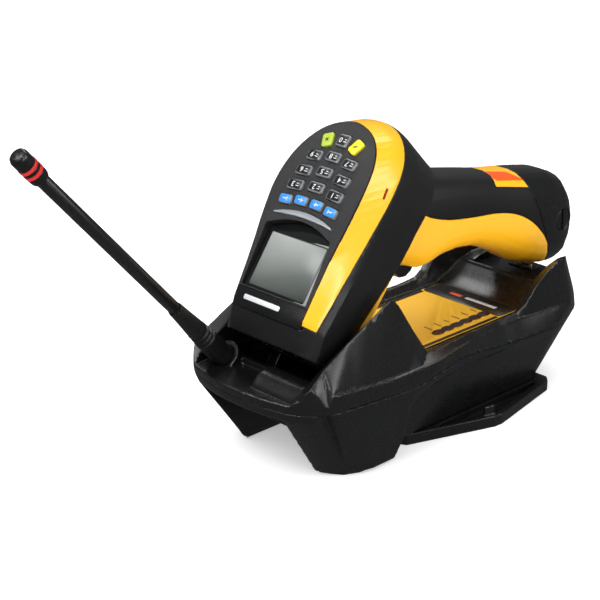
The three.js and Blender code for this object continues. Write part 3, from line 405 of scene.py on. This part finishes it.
def evaluated(obj, name):
    depsgraph = bpy.context.evaluated_depsgraph_get()
    mesh = bpy.data.meshes.new_from_object(obj.evaluated_get(depsgraph))
    mesh.name = name
    old = obj.data
    bpy.data.objects.remove(obj)
    bpy.data.meshes.remove(old)
    return mesh


def voxelled(form, voxel, name):
    mesh = bpy.data.meshes.new(name)
    form.to_mesh(mesh)
    obj = new_object(name, mesh)
    remesh = obj.modifiers.new("voxels", "REMESH")
    remesh.mode = "VOXEL"
    remesh.voxel_size = voxel
    return evaluated(obj, name)


SHRINK, GROW_SOFT, GROW = 0.55, -0.35, -0.2 # shares of the way to the neighbours' middle, each round


def relax(mesh, tree, near, far, soft_rounds, rounds, reach):
    """Evens out facets away from the crisp edges, and rounds those edges a little, without shrinking.

    Corners of the voxel mesh within reach of a crisp edge are first drawn onto it."""
    co = coordinates(mesh)
    nearest = [tree.find(p) for p in co]
    gap = np.array([found[2] if found[2] is not None else far for found in nearest])
    for index in np.flatnonzero(gap < reach):
        co[index] = nearest[index][0]
    ends = np.empty(len(mesh.edges) * 2, np.int32)
    mesh.edges.foreach_get("vertices", ends)
    a, b = ends[::2], ends[1::2]
    count = np.bincount(a, minlength=len(co)) + np.bincount(b, minlength=len(co))
    t = np.clip((gap - near) / (far - near), 0, 1)
    free = (t * t * (3 - 2 * t))[:, None]
    for turn in range(rounds):
        soft = turn < soft_rounds
        share = 1.0 if soft else free
        for factor in (SHRINK, GROW_SOFT if soft else GROW):
            mean = np.empty_like(co)
            for k in range(3):
                total = np.bincount(a, co[b, k], len(co)) + np.bincount(b, co[a, k], len(co))
                mean[:, k] = total / count
            co += (mean - co) * factor * share
    mesh.vertices.foreach_set("co", co.astype(np.float32).ravel())
    mesh.update()


def thinned(mesh, faces, name):
    obj = new_object(name, mesh)
    if len(mesh.polygons) * 2 > faces:
        thin = obj.modifiers.new("thin", "DECIMATE")
        thin.ratio = faces / (len(mesh.polygons) * 2)
    return evaluated(obj, name)


def stand_for(node, mesh, name, finish=None):
    """Shows a mesh in place of a CAD node, on its body and in its material slot."""
    obj = new_object(name, mesh)
    mesh.shade_smooth()
    paint(obj, finish or FINISHES[SLOTS[node]])
    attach(obj, BODIES[node])
    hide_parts(node)
    return obj


SOFT_ROUNDS = 3 # the first rounds, which also round the crisp edges
SNAP = 1.1 # how far off a crisp edge a corner is drawn onto it, in voxels


def soften(node, voxel, near, far, rounds, faces):
    """A moulded casing: the CAD shape with evened curves and rounded edges."""
    form = welded(node)
    tree = sharp_tree(form, voxel * MM / 4)
    mesh = voxelled(form, voxel * MM, node + "_skin")
    form.free()
    relax(mesh, tree, near * MM, far * MM, SOFT_ROUNDS, rounds, SNAP * voxel * MM)
    return stand_for(node, thinned(mesh, faces, node + "_skin"), node + "_skin", OWN_FINISH.get(node))


# node: voxel, near, far (mm), rounds, faces
CASINGS = {
    "upper_housing": (0.7, 0.9, 4.5, 110, 60000),
    "lower_housing": (0.75, 0.9, 4.0, 60, 50000),
    "head_housing": (0.6, 1.0, 5.0, 90, 45000),
    "handle_housing": (0.6, 0.8, 4.0, 60, 45000),
    "grip_cover": (0.6, 0.8, 4.0, 60, 40000),
    "battery_cap": (0.55, 0.8, 4.0, 60, 30000),
    "handle_patch": (0.35, 0.6, 3.0, 30, 12000),
    "trigger": (0.4, 0.6, 2.5, 30, 8000),
    "wall_bracket": (0.7, 0.8, 3.0, 6, 20000),
    "antenna_boot": (0.35, 0.4, 2.0, 20, 14000),
    "antenna_tip": (0.3, 0.4, 2.0, 10, 8000),
}


BEVEL_ANGLE = math.radians(25) # edges flatter than this aren't rounded


def bevelled(node, width, segments, finish=None):
    """A small hard piece: the CAD shape with its edges rounded by a true bevel."""
    form = welded(node)
    bmesh.ops.dissolve_limit(form, angle_limit=math.radians(1), verts=form.verts, edges=form.edges)
    mesh = bpy.data.meshes.new(node + "_skin")
    form.to_mesh(mesh)
    form.free()
    mesh.shade_smooth()
    obj = new_object(node + "_skin", mesh)
    bevel = obj.modifiers.new("bevel", "BEVEL")
    bevel.width = width * MM
    bevel.segments = segments
    bevel.limit_method = "ANGLE"
    bevel.angle_limit = BEVEL_ANGLE
    bevel.harden_normals = True
    return stand_for(node, evaluated(obj, node + "_skin"), node + "_skin", finish)


CRISP = ("yellow_band", "face_cover") # shells whose thin edges a voxel mesh would fray


def crisp(node):
    """A thin-edged shell: the CAD shape itself, subdivided once and shaded round wherever it bends gently."""
    form = welded(node)
    bmesh.ops.subdivide_edges(form, edges=form.edges, cuts=1, use_grid_fill=True)
    mesh = bpy.data.meshes.new(node + "_skin")
    form.to_mesh(mesh)
    form.free()
    stand_for(node, mesh, node + "_skin", OWN_FINISH.get(node))
    mesh.set_sharp_from_angle(angle=SHARP)


def make_casings():
    for node in CRISP:
        crisp(node)
    for node, (voxel, near, far, rounds, faces) in CASINGS.items():
        soften(node, voxel, near, far, rounds, faces)


# node: width of the rounded edges in mm; the rest of the nodes take SMALL_EDGE
EDGES = {
    "display_glass": 0.25, "light_bar": 0.4, "front_strip": 0.5, "scan_window": 0.5, "cap_screw": 0.5,
    "status_led": 0.15, "status_lights": 0.3, "deck_label": 0.12, "battery_pack": 1.5, "antenna_whip": 0.4,
    "trigger_spring": 0.05, "lcd_module": 0.3, "radio_board": 0.15, "main_board": 0.15,
    "antenna_ring_lower": 0.3, "antenna_ring_upper": 0.3,
}
SMALL_EDGE = 0.2
KEY_EDGE = 0.85


def make_hard_pieces():
    for node in SLOTS:
        if node not in CASINGS and node not in CRISP:
            is_key = node.startswith("key_") and node != "key_mat"
            width = KEY_EDGE if is_key else EDGES.get(node, SMALL_EDGE)
            bevelled(node, width, 4 if width > 0.4 else 2, OWN_FINISH.get(node))


# ---- small pieces added on top of the CAD shapes ----------------------------------------------------
def added(name, mesh, finish, node):
    """A piece with no CAD node of its own: it rides with the node it is fixed to."""
    obj = new_object(name, mesh)
    mesh.shade_smooth()
    paint(obj, finish)
    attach(obj, BODIES[node])
    return obj


def rounded_outline(width, height, radius, steps=5):
    points = []
    for quarter, (sx, sy) in enumerate(((1, 1), (-1, 1), (-1, -1), (1, -1))):
        for i in range(steps + 1):
            angle = math.pi / 2 * (quarter + i / steps)
            points.append((sx * (width / 2 - radius) + radius * math.cos(angle),
                           sy * (height / 2 - radius) + radius * math.sin(angle)))
    return points


def plate(name, outline, thick, matrix, finish, node, edge=0.3):
    """A thin plate with rounded rims over an outline in millimetres, standing on the matrix's xy plane."""
    form = bmesh.new()
    rims = []
    for scale_in, z in ((0, 0), (0, thick * (1 - edge)), (thick * edge, thick)):
        middle = Vector((sum(x for x, _ in outline), sum(y for _, y in outline))) / len(outline)
        ring = []
        for x, y in outline:
            away = Vector((x, y)) - middle
            point = middle + away * max(0.0, 1 - scale_in / max(away.length, 1e-6))
            ring.append(form.verts.new(matrix @ Vector((point.x * MM, point.y * MM, z * MM))))
        rims.append(ring)
    form.faces.new(list(reversed(rims[0])))
    form.faces.new(rims[-1])
    for low, high in zip(rims, rims[1:]):
        for i in range(len(low)):
            j = (i + 1) % len(low)
            form.faces.new((low[i], low[j], high[j], high[i]))
    mesh = bpy.data.meshes.new(name)
    form.to_mesh(mesh)
    form.free()
    return added(name, mesh, finish, node)


def bar(name, width, height, matrix, finish, node, radius=0.25, thick=0.08):
    outline = rounded_outline(width, height, min(radius, height / 2.01, width / 2.01))
    return plate(name, outline, thick, matrix, finish, node)


def figure(name, text, size, matrix, finish, node):
    """A printed figure, centred on the matrix's origin and raised a hair above it."""
    curve = bpy.data.curves.new(name, "FONT")
    curve.body = text
    curve.size = size * MM
    curve.extrude = 0.03 * MM
    curve.offset = 0.05 * MM
    curve.align_x, curve.align_y = "CENTER", "CENTER"
    curve.resolution_u = 6
    obj = new_object(name, curve)
    mesh = bpy.data.meshes.new_from_object(obj.evaluated_get(bpy.context.evaluated_depsgraph_get()))
    bpy.data.objects.remove(obj)
    bpy.data.curves.remove(curve)
    mesh.name = name
    mesh.transform(matrix)
    return added(name, mesh, finish, node)


def flat(x, y, z):
    """A level place: x and y in millimetres, z in metres."""
    return Matrix.Translation((x * MM, y * MM, z))


def surface_at(node, v):
    """Height and slope of the top of a face piece at a height on the face."""
    place = points_of(node) - np.array(on_face(0, 0, 0))
    pv, pw = (place @ np.array(axis) / MM for axis in (UP, OUT))
    top = pw > (pw.min() + pw.max()) / 2
    slope, level = np.polyfit(pv[top], pw[top], 1)
    return level + slope * v, slope


def on_piece(node, x, v, lift):
    level, slope = surface_at(node, v)
    return face_matrix(x, v, level + lift) @ Matrix.Rotation(math.atan(-slope), 4, "X")


KEY_LIFT = 0.02 # mm between a key's top and what is printed on it


def key_place(node):
    """The top of a key: a matrix in its middle, and the size and lean of its flat top."""
    place = points_of(node) - np.array(on_face(0, 0, 0))
    px, pv, pw = (place @ np.array(axis) / MM for axis in (ACROSS, UP, OUT))
    x, v = (px.min() + px.max()) / 2, (pv.min() + pv.max()) / 2
    high = pw > (pw.min() + pw.max()) / 2
    right = high & (px > px.max() - 0.6)
    lean = -math.atan2(pv[right].mean() - v, px.max() - x)
    cos, sin = math.cos(lean), math.sin(lean)
    wide = np.ptp((px - x) * cos - (pv - v) * sin)
    tall = np.ptp((px - x) * sin + (pv - v) * cos)
    return on_piece(node, x, v, KEY_LIFT) @ Matrix.Rotation(-lean, 4, "Z"), wide, tall


INLAY = 0.12 # thickness of a key's inlay in mm


def make_key_marks():
    for digit in range(10):
        node = "key_%d" % digit
        matrix, wide, tall = key_place(node)
        bar(node + "_inlay", wide - 2.0, tall - 2.0, matrix, KEY_DARK, node, radius=1.0, thick=INLAY)
        figure(node + "_figure", str(digit), 4.3, matrix @ flat(1.2, 0, 0.17 * MM), PALE_INK, node)
        for row, length in enumerate((2.2, 1.6)):
            mark = matrix @ flat(-2.1, 0.7 - 1.4 * row, INLAY * MM)
            bar("%s_mark_%d" % (node, row), length, 0.45, mark, PALE_INK, node)
    for index in range(1, 5):
        node = "key_f%d" % index
        matrix, wide, tall = key_place(node)
        bar(node + "_inlay", wide - 1.7, tall - 1.5, matrix, FINISHES["blue_key"], node, radius=1.0,
            thick=INLAY)
        bar(node + "_mark", 3.6, 0.7, matrix @ flat(0, 0, INLAY * MM), PALE_INK, node)
        bar(node + "_tick", 0.7, 2.2, matrix @ flat(0.9 * (index - 2.5), 0, INLAY * MM), PALE_INK, node)
    for node in ("key_green", "key_yellow"):
        matrix = key_place(node)[0]
        bar(node + "_mark", 2.6, 0.7, matrix, DARK_INK, node)
    bar("key_green_tick", 0.7, 2.6, key_place("key_green")[0], DARK_INK, "key_green")


LCD_SIZE = (42.0, 31.5) # mm
LCD_MIDDLE = (-0.4, 0.5) # x, v
STRIP_RISE, STRIP_SLOPE = 1.2, 0.07 # the plain strip's surface beside its printed bar


def make_display():
    x, v = LCD_MIDDLE
    width, height = LCD_SIZE
    bar("display_surround", width + 1.6, height + 1.6, face_matrix(x, v, 0.02), DARK_INK, "display_glass",
        radius=1.2, thick=0.1)
    bar("display_pane", width, height, face_matrix(x, v, 0.1), LCD, "display_glass", radius=0.8, thick=0.12)
    strip = face_matrix(-5.5, -23, STRIP_RISE) @ Matrix.Rotation(math.atan(-STRIP_SLOPE), 4, "X")
    bar("name_bar", 28, 2.8, strip, PALE_INK, "front_strip", radius=0.8)


TITLE_STRIP = 19 # mm of the label's rear end that is dark


def make_label_print():
    top = span("deck_label", (0, 0, 1))[1]
    low_y, high_y = (value / MM for value in span("deck_label", (0, 1, 0)))
    half = span("deck_label", (1, 0, 0))[1] / MM
    node = "deck_label"
    strip = high_y - TITLE_STRIP
    bar("label_strip", 2 * half - 0.6, 18.5, flat(0, strip + 9.4, top), DARK_INK, node, radius=3)
    bar("label_title", 24, 3.2, flat(9, strip + 9.5, top + 0.1 * MM), PALE_INK, node, radius=0.6)
    bar("label_title_orange", 9, 3.2, flat(-11, strip + 9.5, top + 0.1 * MM), ORANGE_INK, node, radius=0.6)
    for name, x in (("right", half - 1.6), ("left", -half + 1.6)):
        bar("label_edge_" + name, 2.6, strip - low_y - 1, flat(x, (strip + low_y) / 2, top), DARK_INK, node)
    bar("label_edge_front", 2 * half - 2, 1.6, flat(0, low_y + 1, top), DARK_INK, node)
    lights_low, lights_high = (value / MM for value in span("status_lights", (0, 1, 0)))
    pitch = (lights_high - lights_low - 9.2) / 5
    for i in range(6):
        y = lights_low + 4.6 + pitch * i
        bar("label_dash_%d" % i, 6.5 - (i % 3), 0.9, flat(13.5, y, top), DARK_INK, node)
    bar("label_mark", 5, 2.4, flat(18, low_y + 12, top), DARK_INK, node)
    for i in range(4):
        bar("label_line_%d" % i, 18 - 3 * (i % 2), 0.8, flat(-12, low_y + 22 + 3 * i, top), DARK_INK, node)


RING_SEGMENTS = 72


def turned_ring(name, profile, matrix, finish, node):
    """A ring whose section, [radius, height] in millimetres, closes on itself."""
    form = bmesh.new()
    rings = []
    for step in range(RING_SEGMENTS):
        angle = 2 * math.pi * step / RING_SEGMENTS
        c, s = math.cos(angle), math.sin(angle)
        rings.append([form.verts.new(matrix @ Vector((r * c * MM, r * s * MM, z * MM))) for r, z in profile])
    for here, there in zip(rings, rings[1:] + rings[:1]):
        for i in range(len(profile)):
            j = (i + 1) % len(profile)
            form.faces.new((here[i], there[i], there[j], here[j]))
    bmesh.ops.recalc_face_normals(form, faces=form.faces)
    mesh = bpy.data.meshes.new(name)
    form.to_mesh(mesh)
    form.free()
    return added(name, mesh, finish, node)


def round_section(radius, height, thick, steps=12):
    angles = [2 * math.pi * i / steps for i in range(steps)]
    return [(radius + thick * math.cos(a), height + thick * math.sin(a)) for a in angles]


def make_screw_ring():
    low, high = (Vector(corner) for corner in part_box("cap_screw"))
    middle = (low + high) / 2
    matrix = Matrix.Translation((high.x, middle.y, middle.z)) @ Matrix.Rotation(math.pi / 2, 4, "Y")
    section = round_section(8.2, -0.9, 0.7)
    turned_ring("cap_screw_rim", section, matrix, FINISHES["black_plastic"], "battery_cap")


# ---- stage, lights and camera --------------------------------------------------------------------
CAMERA = {"azimuth": 46.0, "elevation": 21.6, "distance": 0.879, "lens": 96.0, "target": (0, -0.078, 0.090)}
FLOOR_SIZE = 8 # metres
FLOOR_GAP = 0.0002 # metres between the floor and the lowest point
FLOOR_GLOW = 0.4
WORLD_STRENGTH = 0.14
# name, azimuth, elevation, distance (m), size (m), power (W)
LIGHTS = (("key", -15, 50, 1.3, (1.0, 0.7), 12), ("side", 118, 28, 1.3, (0.5, 0.9), 7),
          ("rear", 215, 55, 1.3, (1.2, 0.35), 9), ("low_side", 80, 14, 1.2, (0.12, 0.5), 3))


def direction(azimuth, elevation):
    a, e = math.radians(azimuth), math.radians(elevation)
    return Vector((math.sin(a) * math.cos(e), -math.cos(a) * math.cos(e), math.sin(e)))


def add_camera():
    data = bpy.data.cameras.new("camera")
    data.lens = CAMERA["lens"]
    data.sensor_width = 36
    camera = bpy.data.objects.new("camera", data)
    back = direction(CAMERA["azimuth"], CAMERA["elevation"])
    camera.location = Vector(CAMERA["target"]) + back * CAMERA["distance"]
    camera.rotation_euler = back.to_track_quat("Z", "Y").to_euler()
    SCENE.collection.objects.link(camera)
    SCENE.camera = camera


def add_light(name, azimuth, elevation, distance, size, power):
    data = bpy.data.lights.new(name, "AREA")
    data.shape = "RECTANGLE"
    data.size, data.size_y = size
    data.energy = power
    light = bpy.data.objects.new(name, data)
    back = direction(azimuth, elevation)
    light.location = Vector(CAMERA["target"]) + back * distance
    light.rotation_euler = back.to_track_quat("Z", "Y").to_euler()
    SCENE.collection.objects.link(light)


def add_stage():
    bpy.ops.mesh.primitive_plane_add(size=FLOOR_SIZE)
    floor = bpy.context.object
    floor.name = "floor"
    finish = Finish("studio_floor", (0.9, 0.9, 0.9), 0.6)
    cloud = finish.noise(400, 2)
    finish.set("Base Color", mixed(finish, cloud, (0.88, 0.88, 0.88), (0.92, 0.92, 0.92)))
    finish.set("Emission Color", (1, 1, 1, 1))
    finish.set("Emission Strength", FLOOR_GLOW)
    paint(floor, finish)
    floor.visible_glossy = False
    floor.location.z = cad_low[2] - FLOOR_GAP
    world = bpy.data.worlds.new("studio")
    world.use_nodes = True
    background = world.node_tree.nodes["Background"]
    background.inputs["Color"].default_value = (1, 1, 1, 1)
    background.inputs["Strength"].default_value = WORLD_STRENGTH
    SCENE.world = world
    SCENE.view_settings.view_transform = "Standard"


def add_sun(azimuth, elevation, strength, spread):
    data = bpy.data.lights.new("fill", "SUN")
    data.energy = strength
    data.angle = math.radians(spread)
    sun = bpy.data.objects.new("fill", data)
    sun.rotation_euler = direction(azimuth, elevation).to_track_quat("Z", "Y").to_euler()
    SCENE.collection.objects.link(sun)


def add_lights():
    add_sun(azimuth=20, elevation=62, strength=1.3, spread=70)
    for light in LIGHTS:
        add_light(*light)


make_casings()
make_hard_pieces()
make_key_marks()
make_display()
make_label_print()
make_screw_ring()
add_camera()
add_stage()
add_lights()
